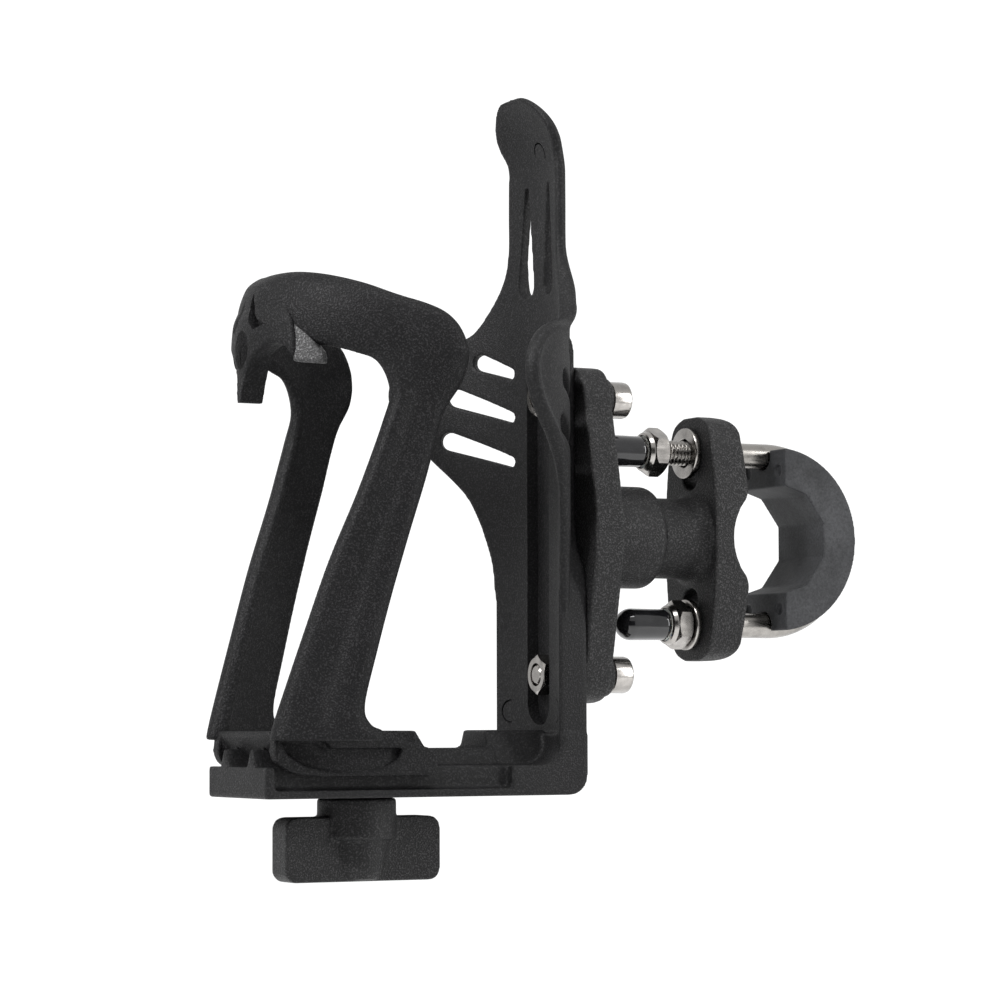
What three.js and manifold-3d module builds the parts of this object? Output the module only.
// Water bottle cage with a handlebar clamp.
// Millimetres, +Z up. The origin is the centre of the handlebar, whose axis is +Y.
// +X points from the bottle towards the handlebar.
import * as THREE from "three";
import { mergeVertices } from "three/addons/utils/BufferGeometryUtils.js";
import { TessellateModifier } from "three/addons/modifiers/TessellateModifier.js";
import Module from "manifold-3d";

const wasm = await Module();
wasm.setup();

// ---- Driving dimensions -------------------------------------------------

const GAP = 0.3; // clearance between pieces that touch
const BAR_RADIUS = 12.7; // handlebar, 25.4 mm across
const SCREW_PITCH = 64; // standard spacing of bottle cage screws
const SCREW_Z = SCREW_PITCH / 2;

// Back frame
const BOTTLE_X = -96; // axis of the bottle
const BOTTLE_RADIUS = 37.7; // inner face of the finger, wings and spine
const SHELL = 2.6; // wall of the finger and wings
const SPINE_BACK = -54.6; // flat back of the spine
const SPINE_HALF = 15.8; // half width of the spine
const RIB_HALF = 10.2; // half width of the rib behind the wings
const FINGER_HALF = 12;
const FINGER_TOP = 100.4;
const TIP_START = 82.7; // height where the finger's tip starts to curl
const TIP_CURL = 0.025; // forward reach per square millimetre of height
const CHANNEL_HALF = 5.3;
const CHANNEL_DEPTH = 2.4;

// Base of the back frame
const BASE_FRONT = -133.4;
const BASE_BOTTOM = -59.2;
const BASE_TOP = -52.4;
const BASE_HALF = 16.2;
const STEP_HALF = 14; // half width above the side step
const FLANGE = 1.8; // height of the flange below the side step
const RIDGE_Y = 7.4;
const RIDGE_HALF = 2.1;
const RIDGE_TOP = -48.4;
const BLOCK_FRONT = -75.4; // raised block that the arm can slide up to
const BLOCK_TOP = -44.6;

// Front arm
const RING_FRONT = 32.4; // ring's inner half length along X
const RING_SIDE = 27; // ring's inner half width along Y
const ARM_WALL = 2.9;
const ARM_CHAMFER = 0.9;
const ARM_SCALE = 0.53; // millimetres along the ring for each degree around it
const BRIDGE_REAR = -94.8;
const BRIDGE_TOP = -44.6;
const SHOE_OUT = 17.4;
const SHOE_BOTTOM = -54.3;
const ARM_TRAVEL = 15; // up to just short of the wings

// Clamp knob
const KNOB_X = -104.6;
const KNOB_LENGTH = 37.6;
const KNOB_THICK = 7.8;
const KNOB_TOP = -63.6;
const KNOB_BOTTOM = -77.9;
const COLLAR_RADIUS = 8.8;
const BOLT_RADIUS = 2.95;

// Mount plate and its screws
const PLATE_BACK = SPINE_BACK + GAP;
const PLATE_FRONT = -47;
const PLATE_HALF_HEIGHT = 38.6;
const PLATE_HALF_WIDTH = 19.6;
const BOSS_RADIUS = 11.9;
const BOSS_END = -30.3;
const SCREW_RADIUS = 2.4;
const HEAD_RADIUS = 4.25;
const HEAD_HEIGHT = 5;
const HEAD_END = -35.6;
const PLATE_NUT_FLATS = 8;
const PLATE_NUT_HEIGHT = 3.2;

// Saddle block
const SADDLE_BACK = -18.1;
const SADDLE_LIP = -8.7;
const SADDLE_HALF_HEIGHT = 28.7;
const SADDLE_HALF_WIDTH = 11.8;
const STEM_RADIUS = 9.4;

// U-bolt and what is on it
const ROD_RADIUS = 2.95;
const LEG_Z = 20.2;
const BEND_X = 2.9;
const LEG_END = -35;
const WASHER_RADIUS = 6;
const WASHER_THICK = 1.5;
const NUT_FLATS = 10;
const NUT_HEIGHT = 5;
const LOWER_NUT_X = SADDLE_BACK - GAP - WASHER_THICK - GAP;
const UPPER_NUT_X = -26.3;
const CAP_RADIUS = 3.7;
const CAP_LENGTH = 12.6;
const PAD_HALF_WIDTH = 10.2;
const PAD_OUTER = 20.6;
const PAD_CUT = 2; // the pad's two end faces lie on this X

// ---- Materials -----------------------------------------------------------

const plastic = new THREE.MeshStandardMaterial({ color: 0x1b1b1c, roughness: 0.62, metalness: 0 });
const rubber = new THREE.MeshStandardMaterial({ color: 0x242526, roughness: 0.8, metalness: 0 });
const steel = new THREE.MeshStandardMaterial({ color: 0xb9b4ad, roughness: 0.28, metalness: 1 });
const brass = new THREE.MeshStandardMaterial({ color: 0xb08d4a, roughness: 0.35, metalness: 1 });
const vinyl = new THREE.MeshStandardMaterial({ color: 0x0d0d0d, roughness: 0.15, metalness: 0 });
const nylon = new THREE.MeshStandardMaterial({ color: 0xd8d6cf, roughness: 0.5, metalness: 0 });

// ---- Helpers: three.js geometry to solids, and solids to meshes -----------

// A closed three.js geometry as a solid for joining and cutting.
function solid(geometry) {
  const bare = geometry.clone();
  for (const name of Object.keys(bare.attributes)) {
    if (name !== "position") bare.deleteAttribute(name);
  }
  const merged = mergeVertices(bare, 1e-4);
  const made = new wasm.Manifold(
    new wasm.Mesh({
      numProp: 3,
      vertProperties: new Float32Array(merged.attributes.position.array),
      triVerts: new Uint32Array(merged.index.array),
    }),
  );
  return made;
}

// A named mesh from a solid.
function meshOf(name, body, material) {
  const data = body.getMesh();
  const geometry = new THREE.BufferGeometry();
  const positions = new THREE.BufferAttribute(new Float32Array(data.vertProperties), 3);
  geometry.setAttribute("position", positions);
  geometry.setIndex(new THREE.BufferAttribute(new Uint32Array(data.triVerts), 1));
  geometry.computeVertexNormals();
  const mesh = new THREE.Mesh(geometry, material);
  mesh.name = name;
  return mesh;
}

function join(bodies) {
  return bodies.reduce((sum, body) => sum.add(body));
}

function box(x0, x1, y0, y1, z0, z1) {
  const geometry = new THREE.BoxGeometry(x1 - x0, y1 - y0, z1 - z0);
  geometry.translate((x0 + x1) / 2, (y0 + y1) / 2, (z0 + z1) / 2);
  return solid(geometry);
}

const extrusion = (depth) => ({ depth, bevelEnabled: false, steps: 1, curveSegments: 7 });

// A shape drawn in (X, Z), extruded along Y.
function extrudeY(shape, y0, y1) {
  const geometry = new THREE.ExtrudeGeometry(shape, extrusion(y1 - y0));
  geometry.rotateX(Math.PI / 2);
  geometry.translate(0, y1, 0);
  return solid(geometry);
}

// A shape drawn in (Y, Z), extruded along X.
function extrudeX(shape, x0, x1) {
  const geometry = new THREE.ExtrudeGeometry(shape, extrusion(x1 - x0));
  const turn = new THREE.Matrix4().set(0, 0, 1, 0, 1, 0, 0, 0, 0, 1, 0, 0, 0, 0, 0, 1);
  geometry.applyMatrix4(turn);
  geometry.translate(x0, 0, 0);
  return solid(geometry);
}

// A shape drawn in (X, Y), extruded along Z.
function extrudeZ(shape, z0, z1) {
  const geometry = new THREE.ExtrudeGeometry(shape, extrusion(z1 - z0));
  geometry.translate(0, 0, z0);
  return solid(geometry);
}

// A round bar along X.
function barX(radius, x0, x1, y, z, sides = 24) {
  const geometry = new THREE.CylinderGeometry(radius, radius, x1 - x0, sides);
  geometry.rotateZ(Math.PI / 2);
  geometry.translate((x0 + x1) / 2, y, z);
  return solid(geometry);
}

// A round bar along Z.
function barZ(radius, z0, z1, x, y, sides = 24) {
  const geometry = new THREE.CylinderGeometry(radius, radius, z1 - z0, sides);
  geometry.rotateX(Math.PI / 2);
  geometry.translate(x, y, (z0 + z1) / 2);
  return solid(geometry);
}

// A hexagonal bar along X, with two flats facing up and down.
function hexX(flats, x0, x1, y, z) {
  const geometry = new THREE.CylinderGeometry(flats / Math.sqrt(3), flats / Math.sqrt(3), x1 - x0, 6);
  geometry.rotateZ(Math.PI / 2);
  geometry.translate((x0 + x1) / 2, y, z);
  return solid(geometry);
}

// A closed outline of [radius, x] pairs, turned about the X axis through (y, z).
function turnedX(outline, y, z, sides = 24) {
  const points = outline.map(([radius, x]) => new THREE.Vector2(radius, x));
  points.push(points[0].clone());
  const geometry = new THREE.LatheGeometry(points, sides);
  geometry.rotateZ(-Math.PI / 2);
  geometry.translate(0, y, z);
  const body = solid(geometry);
  return body;
}

function polygon(points) {
  return new THREE.Shape(points.map(([a, b]) => new THREE.Vector2(a, b)));
}

function rectangle(a0, a1, b0, b1) {
  return polygon([[a0, b0], [a1, b0], [a1, b1], [a0, b1]]);
}

// A rectangle with round corners.
function roundRectangle(a0, a1, b0, b1, radius) {
  const shape = new THREE.Shape();
  shape.moveTo(a0 + radius, b0);
  shape.absarc(a1 - radius, b0 + radius, radius, -Math.PI / 2, 0);
  shape.absarc(a1 - radius, b1 - radius, radius, 0, Math.PI / 2);
  shape.absarc(a0 + radius, b1 - radius, radius, Math.PI / 2, Math.PI);
  shape.absarc(a0 + radius, b0 + radius, radius, Math.PI, Math.PI * 1.5);
  return shape;
}

// A slot with round ends, wider at one end than at the other.
function taperedSlot([a0, b0], radius0, [a1, b1], radius1) {
  const along = Math.atan2(b1 - b0, a1 - a0);
  const shape = new THREE.Shape();
  shape.absarc(a0, b0, radius0, along + Math.PI / 2, along + Math.PI * 1.5);
  shape.absarc(a1, b1, radius1, along - Math.PI / 2, along + Math.PI / 2);
  return shape;
}

// One half of a symmetric outline, as [across, up] pairs from bottom centre to
// top centre, smoothed by a spline and mirrored.
function mirroredOutline(half, steps) {
  const curve = new THREE.SplineCurve(half.map(([a, b]) => new THREE.Vector2(a, b)));
  const right = curve.getSpacedPoints(steps);
  const left = right.map((p) => new THREE.Vector2(-p.x, p.y)).reverse();
  const whole = [...right, ...left].filter((p, i, all) => {
    return i === 0 || p.distanceTo(all[i - 1]) > 0.05;
  });
  if (whole[0].distanceTo(whole[whole.length - 1]) < 0.05) whole.pop();
  return new THREE.Shape(whole);
}

// A flat plate drawn in (across, up), wrapped by bend(across, depth, up) -> [x, y].
function wrappedPlate(shape, depth0, depth1, edge, bend, chamfer = 0) {
  const flat = new THREE.ExtrudeGeometry(shape, {
    depth: depth1 - depth0 - 2 * chamfer,
    steps: 1,
    curveSegments: 5,
    bevelEnabled: chamfer > 0,
    bevelThickness: chamfer,
    bevelSize: chamfer,
    bevelOffset: -chamfer,
    bevelSegments: 1,
  });
  flat.translate(0, 0, depth0 + chamfer);
  const fine = new TessellateModifier(edge, 12).modify(flat);
  const position = fine.getAttribute("position");
  for (let i = 0; i < position.count; i++) {
    const [x, y] = bend(position.getX(i), position.getZ(i), position.getY(i));
    position.setXYZ(i, x, y, position.getY(i));
  }
  return solid(fine);
}

// ---- Back frame ------------------------------------------------------------

const degree = Math.PI / 180;

// Across is the arc length from the spine's centre line, on the bottle's surface.
// Above TIP_START the finger's tip curls forwards over the bottle's shoulder.
function bendOnBottle(across, depth, up) {
  const angle = across / BOTTLE_RADIUS;
  const radius = BOTTLE_RADIUS + depth;
  const curl = TIP_CURL * Math.max(0, up - TIP_START) ** 2;
  return [BOTTLE_X + radius * Math.cos(angle) - curl, radius * Math.sin(angle)];
}

const arc = (angle) => angle * degree * BOTTLE_RADIUS;

// The finger, the two wings and the spine between them, as one thin curved plate.
function curvedBack() {
  const spine = Math.asin(SPINE_HALF / BOTTLE_RADIUS) * BOTTLE_RADIUS;
  const half = [
    [spine, BASE_TOP + 2],
    [spine, -32],
    [spine + 0.2, -18],
    [arc(27.5), -4],
    [arc(36), 9],
    [arc(50), 18.6],
    [arc(61), 26],
    [arc(65.5), 33.5],
    [arc(63.5), 39.5],
    [arc(58), 43.4],
    [arc(50), 45.5],
    [arc(36), 47.8],
    [arc(28), 53],
    [arc(21), 60],
    [arc(18.6), 67],
    [FINGER_HALF + 0.2, 75],
    [FINGER_HALF + 0.1, 82],
    [FINGER_HALF - 0.4, 87.5],
    [FINGER_HALF - 0.1, 91],
    [FINGER_HALF - 1, 94.5],
    [FINGER_HALF - 4.3, 98],
    [5, FINGER_TOP - 0.5],
    [0, FINGER_TOP],
  ];
  const outline = mirroredOutline(half, 48);
  return wrappedPlate(outline, 0, SHELL, 9, bendOnBottle);
}

// The slots cut through the wings and the finger, all radial to the bottle.
function backSlots() {
  const slots = [];
  for (const side of [-1, 1]) {
    const wing = [
      [[side * arc(31), 41.5], 1.9, [side * arc(17), 38.2], 1.2],
      [[side * arc(41), 33.5], 2.1, [side * arc(17), 28], 1.2],
      [[side * arc(43.5), 23.3], 2.1, [side * arc(17), 17.6], 1.2],
      [[side * 5.4, 58.2], 2.8, [side * 5.2, 80.7], 0.8],
    ];
    for (const [a, ra, b, rb] of wing) {
      slots.push(wrappedPlate(taperedSlot(a, ra, b, rb), -2, SHELL + 8, 60, bendOnBottle));
    }
  }
  return join(slots);
}

// The thick part of the spine, and the rib that carries the upper screw.
function spineBody() {
  const lower = rectangle(-SPINE_HALF, SPINE_HALF, BASE_TOP + 3, -12);
  const upper = new THREE.Shape();
  upper.moveTo(-SPINE_HALF, -12.5);
  upper.lineTo(SPINE_HALF, -12.5);
  upper.quadraticCurveTo(RIB_HALF + 1, -4, RIB_HALF, 6);
  upper.lineTo(RIB_HALF, 40);
  upper.absarc(RIB_HALF - 6, 41, 6, 0, Math.PI / 2);
  upper.absarc(-RIB_HALF + 6, 41, 6, Math.PI / 2, Math.PI);
  upper.lineTo(-RIB_HALF, 6);
  upper.quadraticCurveTo(-RIB_HALF - 1, -4, -SPINE_HALF, -12.5);
  const block = extrudeX(lower, -64, SPINE_BACK).add(extrudeX(upper, -64, SPINE_BACK));
  const bottle = barZ(BOTTLE_RADIUS + 0.02, BASE_TOP + 1, 110, BOTTLE_X, 0, 72);
  return block.subtract(bottle);
}

// The foot of the L: flange, stepped rail, ridges and the raised end block.
function base() {
  const corner = 4.5;
  const side = new THREE.Shape();
  side.moveTo(BASE_FRONT, BASE_BOTTOM);
  side.lineTo(SPINE_BACK - corner, BASE_BOTTOM);
  side.absarc(SPINE_BACK - corner, BASE_BOTTOM + corner, corner, -Math.PI / 2, 0);
  side.lineTo(SPINE_BACK, BASE_TOP + 7);
  side.lineTo(-61, BASE_TOP + 7);
  side.absarc(-67, BASE_TOP + 6, 6, 0, -Math.PI / 2, true);
  side.lineTo(BASE_FRONT, BASE_TOP);
  const body = extrudeY(side, -BASE_HALF, BASE_HALF);
  const frontPlate = 2.2;
  const steps = [-1, 1].map((sign) => {
    const inner = Math.min(sign * STEP_HALF, sign * 20);
    const outer = Math.max(sign * STEP_HALF, sign * 20);
    return box(BASE_FRONT + frontPlate, -74, inner, outer, BASE_BOTTOM + FLANGE, 0);
  });
  const ridges = [-1, 1].map((sign) => {
    const ridge = polygon([
      [sign * RIDGE_Y - RIDGE_HALF, BASE_TOP - 1],
      [sign * RIDGE_Y + RIDGE_HALF, BASE_TOP - 1],
      [sign * RIDGE_Y + RIDGE_HALF, BASE_TOP],
      [sign * RIDGE_Y, RIDGE_TOP],
      [sign * RIDGE_Y - RIDGE_HALF, BASE_TOP],
    ]);
    return extrudeX(ridge, BASE_FRONT, BLOCK_FRONT + 1);
  });
  const block = polygon([[-9.5, BASE_TOP - 1], [9.5, BASE_TOP - 1], [5.5, BLOCK_TOP], [-5.5, BLOCK_TOP]]);
  const raised = extrudeX(block, BLOCK_FRONT, -60);
  return join([body.subtract(join(steps)), ...ridges, raised]);
}

function backFrame() {
  const slotHalf = BOLT_RADIUS + 0.4;
  const boltSlot = taperedSlot([KNOB_X - 0.5, 0], slotHalf, [KNOB_X + ARM_TRAVEL + 0.5, 0], slotHalf);
  const channel = roundRectangle(-CHANNEL_HALF, CHANNEL_HALF, -43.5, 44, 5);
  const channelDepth = extrudeX(channel, -70, BOTTLE_X + BOTTLE_RADIUS + CHANNEL_DEPTH);
  const cuts = [
    backSlots(),
    channelDepth,
    extrudeZ(boltSlot, BASE_BOTTOM - 5, BASE_TOP + 5),
    barX(SCREW_RADIUS + GAP, -70, SPINE_BACK + 5, 0, SCREW_Z, 24),
    barX(SCREW_RADIUS + GAP, -70, SPINE_BACK + 5, 0, -SCREW_Z, 24),
  ];
  return join([curvedBack(), spineBody(), base()]).subtract(join(cuts));
}

// ---- Front arm --------------------------------------------------------------

const unit = (value) => Math.min(1, Math.max(0, value));
const aroundRing = ([angle, up]) => [angle * ARM_SCALE, up];

// Across runs around the ring from its front. The ring is an oval about the bottle's axis.
// Below the ring the legs spread forwards to the foot, and the elbows flare outwards.
function bendOnArm(across, depth, up) {
  const turn = across / ARM_SCALE;
  const angle = Math.PI + turn * degree;
  const c = Math.cos(angle) / (RING_FRONT + depth);
  const s = Math.sin(angle) / (RING_SIDE + depth);
  const radius = 1 / Math.hypot(c, s);
  const fall = Math.max(0, (10 - up) / 53);
  const elbow = unit((Math.abs(turn) - 72) / 25) * unit((up - 25) / 12);
  const lean = unit(-Math.cos(angle)) * Math.max(0, up - 39) ** 2;
  const reach = 1 + 0.27 * fall * Math.abs(Math.cos(angle)) ** 3 + 0.1 * elbow - 0.0003 * lean;
  return [BOTTLE_X + radius * reach * Math.cos(angle), radius * reach * Math.sin(angle)];
}

// Ring and two legs: [angle from the front, height] along one side.
function armShell() {
  const half = [
    [0, 41],
    [14, 42],
    [30, 40.5],
    [46, 39],
    [58, 36],
    [64, 29],
    [60.8, 22],
    [51.3, 8],
    [40, -8],
    [31.6, -25],
    [25.2, -41],
    [23.8, BRIDGE_TOP - 2],
    [55, BRIDGE_TOP - 2],
    [53.5, -38],
    [59, -27],
    [65, -15],
    [72.5, -2],
    [80, 10],
    [85, 19],
    [89, 25],
    [96, 31],
    [98, 37],
    [95, 42.4],
    [89, 46],
    [80, 48.2],
    [66, 50.3],
    [52, 52.7],
    [36, 55.3],
    [22, 56.4],
    [10, 56.3],
    [0, 56],
  ];
  const outline = mirroredOutline(half.map(aroundRing), 62);
  return wrappedPlate(outline, 0, ARM_WALL, 7, bendOnArm, ARM_CHAMFER);
}

// The shield on the front of the ring, with its hook and the arches beside it.
function armShield() {
  const half = [
    [0, 28],
    [3.5, 28],
    [7.5, 36],
    [9.5, 37.5],
    [12, 43],
    [18, 45.5],
    [24, 43.5],
    [27, 38],
    [26, 46],
    [20, 51],
    [9, 52],
    [0, 51],
  ].map(aroundRing);
  const mirror = half.slice(1, -1).map(([a, b]) => [-a, b]).reverse();
  return wrappedPlate(polygon([...half, ...mirror]), -1.6, ARM_WALL + 1, 6, bendOnArm);
}

// The foot that joins the legs, rides on the ridges and straddles the rail.
function armFoot() {
  const front = BASE_FRONT + 1.4;
  const plate = new THREE.Shape();
  plate.moveTo(front, BASE_TOP + GAP);
  plate.lineTo(BRIDGE_REAR, BASE_TOP + GAP);
  plate.lineTo(BRIDGE_REAR, BRIDGE_TOP - 3.4);
  plate.lineTo(BRIDGE_REAR - 2.2, BRIDGE_TOP);
  plate.lineTo(front, BRIDGE_TOP);
  const body = extrudeY(plate, -STEP_HALF - 0.5, STEP_HALF + 0.5);
  const shoe = new THREE.Shape();
  shoe.moveTo(front, BRIDGE_TOP);
  shoe.lineTo(front, -50);
  shoe.quadraticCurveTo(front + 2, SHOE_BOTTOM, front + 12, SHOE_BOTTOM);
  shoe.lineTo(BRIDGE_REAR + 2, SHOE_BOTTOM);
  shoe.lineTo(BRIDGE_REAR + 2, -49);
  shoe.lineTo(BRIDGE_REAR - 8, -46);
  shoe.lineTo(BRIDGE_REAR - 10, BRIDGE_TOP);
  const shoes = [
    extrudeY(shoe, STEP_HALF + GAP, SHOE_OUT),
    extrudeY(shoe, -SHOE_OUT, -STEP_HALF - GAP),
  ];
  const grooves = [-1, 1].map((sign) => {
    const groove = polygon([
      [sign * RIDGE_Y - RIDGE_HALF - 0.5, BASE_TOP - 1],
      [sign * RIDGE_Y + RIDGE_HALF + 0.5, BASE_TOP - 1],
      [sign * RIDGE_Y + RIDGE_HALF + 0.5, BASE_TOP + GAP],
      [sign * RIDGE_Y, RIDGE_TOP + 0.6],
      [sign * RIDGE_Y - RIDGE_HALF - 0.5, BASE_TOP + GAP],
    ]);
    return extrudeX(groove, front - 5, BRIDGE_REAR + 5);
  });
  return join([body, ...shoes]).subtract(join(grooves));
}

function frontArm() {
  const boltHole = barZ(BOLT_RADIUS + GAP, BASE_TOP - 1, BRIDGE_TOP + 1, KNOB_X, 0, 20);
  const headPocket = barZ(5.6, BRIDGE_TOP - 4.2, BRIDGE_TOP + 1, KNOB_X, 0, 6);
  const body = join([armShell(), armShield(), armFoot()]);
  return body.subtract(boltHole).subtract(headPocket);
}

// ---- Clamp bolt and knob ------------------------------------------------------

function clampBolt() {
  const head = barZ(5.2, BRIDGE_TOP - 3.9, BRIDGE_TOP - 0.4, KNOB_X, 0, 6);
  const shank = barZ(BOLT_RADIUS, KNOB_BOTTOM + 5.5, BRIDGE_TOP - 3, KNOB_X, 0, 20);
  return head.add(shank);
}

function wingKnob() {
  const collar = barZ(COLLAR_RADIUS, KNOB_TOP - 3, BASE_BOTTOM - GAP, KNOB_X, 0, 40);
  const half = KNOB_LENGTH / 2;
  const wingShape = roundRectangle(KNOB_X - half, KNOB_X + half, KNOB_BOTTOM, KNOB_TOP, 2.4);
  const wings = extrudeY(wingShape, -KNOB_THICK / 2, KNOB_THICK / 2);
  const core = barZ(7, KNOB_BOTTOM + 0.6, KNOB_TOP, KNOB_X, 0, 32);
  const bore = barZ(4.3, KNOB_BOTTOM + 3.5, BASE_BOTTOM + 1, KNOB_X, 0, 20);
  return join([collar, wings, core]).subtract(bore);
}

function knobInsert() {
  const sleeve = barZ(4, KNOB_BOTTOM + 8, BASE_BOTTOM - 1, KNOB_X, 0, 20);
  return sleeve.subtract(barZ(BOLT_RADIUS + GAP, KNOB_BOTTOM, BASE_BOTTOM, KNOB_X, 0, 20));
}

// ---- Mount plate, its screws and nuts -------------------------------------------

function mountPlate() {
  const outline = new THREE.Shape();
  const w = PLATE_HALF_WIDTH;
  const h = PLATE_HALF_HEIGHT;
  outline.moveTo(w, -7);
  outline.quadraticCurveTo(w + 0.9, 0, w, 7);
  outline.lineTo(14.4, 30);
  outline.quadraticCurveTo(12.4, h, 4, h);
  outline.lineTo(-4, h);
  outline.quadraticCurveTo(-12.4, h, -14.4, 30);
  outline.lineTo(-w, 7);
  outline.quadraticCurveTo(-w - 0.9, 0, -w, -7);
  outline.lineTo(-14.4, -30);
  outline.quadraticCurveTo(-12.4, -h, -4, -h);
  outline.lineTo(4, -h);
  outline.quadraticCurveTo(12.4, -h, 14.4, -30);
  const plate = extrudeX(outline, PLATE_BACK, PLATE_FRONT);
  const fillet = 2.4;
  const boss = turnedX(
    [
      [0, PLATE_FRONT - 1],
      [BOSS_RADIUS, PLATE_FRONT - 1],
      [BOSS_RADIUS, BOSS_END - fillet],
      [BOSS_RADIUS - fillet * 0.3, BOSS_END - fillet * 0.3],
      [BOSS_RADIUS - fillet, BOSS_END],
      [0, BOSS_END],
    ],
    0,
    0,
    40,
  );
  const headSeat = HEAD_END - HEAD_HEIGHT - GAP;
  const parts = [plate, boss];
  const holes = [barX(4, PLATE_BACK - 1, BOSS_END + 1, 0, 0, 20)];
  holes.push(hexX(13.4, PLATE_BACK - 1, PLATE_BACK + 6.5, 0, 0));
  for (const sign of [-1, 1]) {
    parts.push(barX(5.2, PLATE_FRONT - 1, headSeat, 0, sign * SCREW_Z, 28));
    holes.push(barX(SCREW_RADIUS + GAP, PLATE_BACK - 1, headSeat + 1, 0, sign * SCREW_Z, 24));
  }
  return join(parts).subtract(join(holes));
}

// A cap screw with a hexagon socket, threaded end towards the bottle.
function mountScrew(z) {
  const head = barX(HEAD_RADIUS, HEAD_END - HEAD_HEIGHT, HEAD_END, 0, z, 20);
  const shank = barX(SCREW_RADIUS, -59.4, HEAD_END - 1, 0, z, 20);
  return head.add(shank).subtract(hexX(4, HEAD_END - 2.6, HEAD_END + 1, 0, z));
}

function mountNut(z) {
  const seat = BOTTLE_X + BOTTLE_RADIUS + CHANNEL_DEPTH - GAP;
  const hex = hexX(PLATE_NUT_FLATS, seat - PLATE_NUT_HEIGHT, seat, 0, z);
  return hex.subtract(barX(SCREW_RADIUS + GAP, seat - 10, seat + 10, 0, z, 20));
}

// ---- Saddle block and swivel -----------------------------------------------------

function saddleBlock() {
  const seat = BAR_RADIUS + GAP;
  const reach = Math.sqrt(seat * seat - SADDLE_LIP * SADDLE_LIP);
  const open = Math.asin((reach - 1) / seat);
  const h = SADDLE_HALF_HEIGHT;
  const side = new THREE.Shape();
  side.moveTo(SADDLE_BACK, -h);
  side.lineTo(SADDLE_LIP - 5.4, -h);
  side.quadraticCurveTo(SADDLE_LIP - 1, -h, SADDLE_LIP - 0.8, -h + 5);
  side.lineTo(SADDLE_LIP, -reach - 2);
  side.quadraticCurveTo(SADDLE_LIP, -reach - 0.4, -seat * Math.cos(open), -seat * Math.sin(open));
  side.absarc(0, 0, seat, Math.PI + open, Math.PI - open, true);
  side.quadraticCurveTo(SADDLE_LIP, reach + 0.4, SADDLE_LIP, reach + 2);
  side.lineTo(SADDLE_LIP - 0.8, h - 5);
  side.quadraticCurveTo(SADDLE_LIP - 1, h, SADDLE_LIP - 5.4, h);
  side.lineTo(SADDLE_BACK, h);
  const profile = extrudeY(side, -20, 20);
  const w = SADDLE_HALF_WIDTH;
  const front = new THREE.Shape();
  front.moveTo(w, -4);
  front.quadraticCurveTo(w + 0.3, 0, w, 4);
  front.quadraticCurveTo(w - 0.6, 16, 9.6, 22);
  front.quadraticCurveTo(8.4, h + 0.2, 3, h + 0.2);
  front.lineTo(-3, h + 0.2);
  front.quadraticCurveTo(-8.4, h + 0.2, -9.6, 22);
  front.quadraticCurveTo(-w + 0.6, 16, -w, 4);
  front.quadraticCurveTo(-w - 0.3, 0, -w, -4);
  front.quadraticCurveTo(-w + 0.6, -16, -9.6, -22);
  front.quadraticCurveTo(-8.4, -h - 0.2, -3, -h - 0.2);
  front.lineTo(3, -h - 0.2);
  front.quadraticCurveTo(8.4, -h - 0.2, 9.6, -22);
  front.quadraticCurveTo(w - 0.6, -16, w, -4);
  const block = profile.intersect(extrudeX(front, -30, 10));
  const stem = barX(STEM_RADIUS, BOSS_END + GAP, SADDLE_BACK + 1, 0, 0, 40);
  const slotHalf = ROD_RADIUS + 0.35;
  const slots = [-1, 1].map((sign) => {
    const slot = taperedSlot([0, sign * 14.9], slotHalf, [0, sign * LEG_Z], slotHalf);
    return extrudeX(slot, -30, 10);
  });
  const bore = barX(3.3, BOSS_END - 1, 0, 0, 0, 20);
  const counterbore = barX(5.6, SADDLE_BACK + 1, 0, 0, 0, 28);
  return block.add(stem).subtract(join([...slots, bore, counterbore]));
}

// The swivel screw's head sits in the saddle's seat, below the handlebar.
function swivelScrew() {
  const head = barX(5.1, SADDLE_BACK + 1 + GAP, -14, 0, 0, 28);
  const shank = barX(3, PLATE_BACK + 0.4, SADDLE_BACK + 2, 0, 0, 20);
  return head.add(shank).subtract(hexX(4.4, -15.4, -10, 0, 0));
}

function swivelNut() {
  const hex = hexX(12.6, PLATE_BACK + 0.3, PLATE_BACK + 5, 0, 0);
  return hex.subtract(barX(3 + GAP, PLATE_BACK - 1, PLATE_BACK + 8, 0, 0, 20));
}

// ---- U-bolt group -----------------------------------------------------------------

class BoltArc extends THREE.Curve {
  getPoint(t, target = new THREE.Vector3()) {
    const angle = (t - 0.5) * Math.PI;
    return target.set(BEND_X + LEG_Z * Math.cos(angle), 0, LEG_Z * Math.sin(angle));
  }
}

function uBolt() {
  const sides = 16;
  const round = new THREE.Shape();
  round.absarc(0, 0, ROD_RADIUS, 0, Math.PI * 2);
  const bend = new THREE.ExtrudeGeometry(round, {
    steps: 18,
    curveSegments: sides,
    bevelEnabled: false,
    extrudePath: new BoltArc(),
  });
  const legs = [-1, 1].map((sign) => barX(ROD_RADIUS, LEG_END, BEND_X + 0.3, 0, sign * LEG_Z, sides));
  return join([solid(bend), ...legs]);
}

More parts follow.
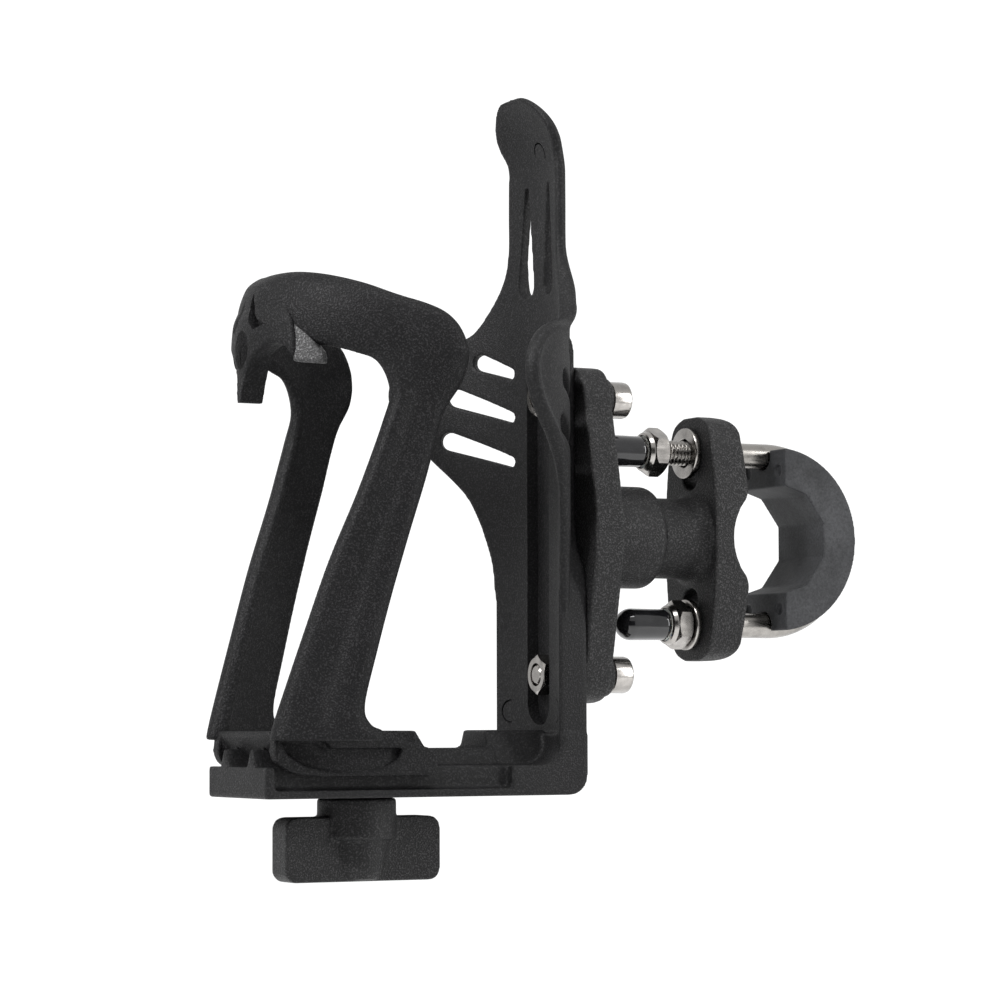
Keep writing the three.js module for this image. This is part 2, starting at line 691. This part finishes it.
// A C-shaped liner: round outside with a groove for the rod, ten-sided inside.
function rubberPad() {
  const outer = new THREE.Shape();
  const end = Math.acos(PAD_CUT / PAD_OUTER);
  outer.absarc(0, 0, PAD_OUTER, -end, end);
  const body = extrudeY(outer, -PAD_HALF_WIDTH, PAD_HALF_WIDTH);
  const flats = new THREE.Shape();
  const corner = (BAR_RADIUS - 0.1) / Math.cos(Math.PI / 10);
  for (let i = 0; i < 10; i++) {
    const angle = (i + 0.5) * (Math.PI / 5);
    const x = corner * Math.cos(angle);
    const z = corner * Math.sin(angle);
    if (i === 0) flats.moveTo(x, z);
    else flats.lineTo(x, z);
  }
  const hole = extrudeY(flats, -20, 20);
  const groove = uBoltGroove();
  return body.subtract(hole).subtract(groove);
}

function uBoltGroove() {
  const round = new THREE.Shape();
  round.absarc(0, 0, ROD_RADIUS + GAP, 0, Math.PI * 2);
  const bend = new THREE.ExtrudeGeometry(round, {
    steps: 18,
    curveSegments: 12,
    bevelEnabled: false,
    extrudePath: new BoltArc(),
  });
  const legs = [-1, 1].map((sign) => barX(ROD_RADIUS + GAP, -5, BEND_X + 0.3, 0, sign * LEG_Z, 12));
  return join([solid(bend), ...legs]);
}

function legWasher(z) {
  const x1 = SADDLE_BACK - GAP;
  const ring = barX(WASHER_RADIUS, x1 - WASHER_THICK, x1, 0, z, 20);
  return ring.subtract(barX(ROD_RADIUS + 0.4, x1 - 5, x1 + 5, 0, z, 20));
}

// The nut's hexagon, with the round collar that holds its nylon ring.
function lockNut(x, z) {
  const hex = hexX(NUT_FLATS, x - NUT_HEIGHT + 1.4, x, 0, z);
  const collar = barX(4.5, x - NUT_HEIGHT, x - 1, 0, z, 20);
  const bore = barX(ROD_RADIUS + GAP, x - 10, x + 1, 0, z, 20);
  const pocket = barX(4, x - NUT_HEIGHT - 1, x - NUT_HEIGHT + 1.6, 0, z, 20);
  return hex.add(collar).subtract(join([bore, pocket]));
}

function nylonRing(x, z) {
  const ring = barX(3.8, x - NUT_HEIGHT + 0.2, x - NUT_HEIGHT + 1.4, 0, z, 20);
  return ring.subtract(barX(ROD_RADIUS + 0.2, x - 10, x, 0, z, 20));
}

// A soft cap over the end of a leg, with a round tip.
function endCap(x, z) {
  const x1 = x - NUT_HEIGHT - GAP;
  const tip = x1 - CAP_LENGTH;
  const body = barX(CAP_RADIUS, tip + CAP_RADIUS, x1, 0, z, 20);
  const dome = new THREE.SphereGeometry(CAP_RADIUS, 20, 10);
  dome.rotateZ(Math.PI / 2);
  dome.translate(tip + CAP_RADIUS, 0, z);
  const bore = barX(ROD_RADIUS + 0.15, tip + 2.8, x1 + 1, 0, z, 20);
  return body.add(solid(dome)).subtract(bore);
}

// ---- Assembly ------------------------------------------------------------------------

const clamp = new THREE.Group();
clamp.name = "clamp";
clamp.add(meshOf("saddle_block", saddleBlock(), plastic));
clamp.add(meshOf("swivel_screw", swivelScrew(), steel));
clamp.add(meshOf("leg_washer_upper", legWasher(LEG_Z), steel));
clamp.add(meshOf("leg_washer_lower", legWasher(-LEG_Z), steel));

const boltGroup = new THREE.Group();
boltGroup.name = "bolt_group";
boltGroup.add(meshOf("u_bolt", uBolt(), steel));
boltGroup.add(meshOf("rubber_pad", rubberPad(), rubber));
for (const [name, x, z] of [["upper", UPPER_NUT_X, LEG_Z], ["lower", LOWER_NUT_X, -LEG_Z]]) {
  boltGroup.add(meshOf("lock_nut_" + name, lockNut(x, z), steel));
  boltGroup.add(meshOf("nylon_ring_" + name, nylonRing(x, z), nylon));
  boltGroup.add(meshOf("end_cap_" + name, endCap(x, z), vinyl));
}

const cage = new THREE.Group();
cage.name = "cage";
cage.add(meshOf("back_frame", backFrame(), plastic));
cage.add(meshOf("mount_plate", mountPlate(), plastic));
cage.add(meshOf("swivel_nut", swivelNut(), steel));
for (const [name, sign] of [["upper", 1], ["lower", -1]]) {
  cage.add(meshOf("mount_screw_" + name, mountScrew(sign * SCREW_Z), steel));
  cage.add(meshOf("mount_nut_" + name, mountNut(sign * SCREW_Z), steel));
}

const arm = new THREE.Group();
arm.name = "arm";
arm.add(meshOf("front_arm", frontArm(), plastic));
arm.add(meshOf("clamp_bolt", clampBolt(), steel));

const knob = new THREE.Group();
knob.name = "knob";
knob.add(meshOf("wing_knob", wingKnob(), plastic));
knob.add(meshOf("knob_insert", knobInsert(), brass));

const bottleCage = new THREE.Group();
bottleCage.name = "water_bottle_cage";
bottleCage.add(clamp, boltGroup, cage, arm, knob);

export default bottleCage;
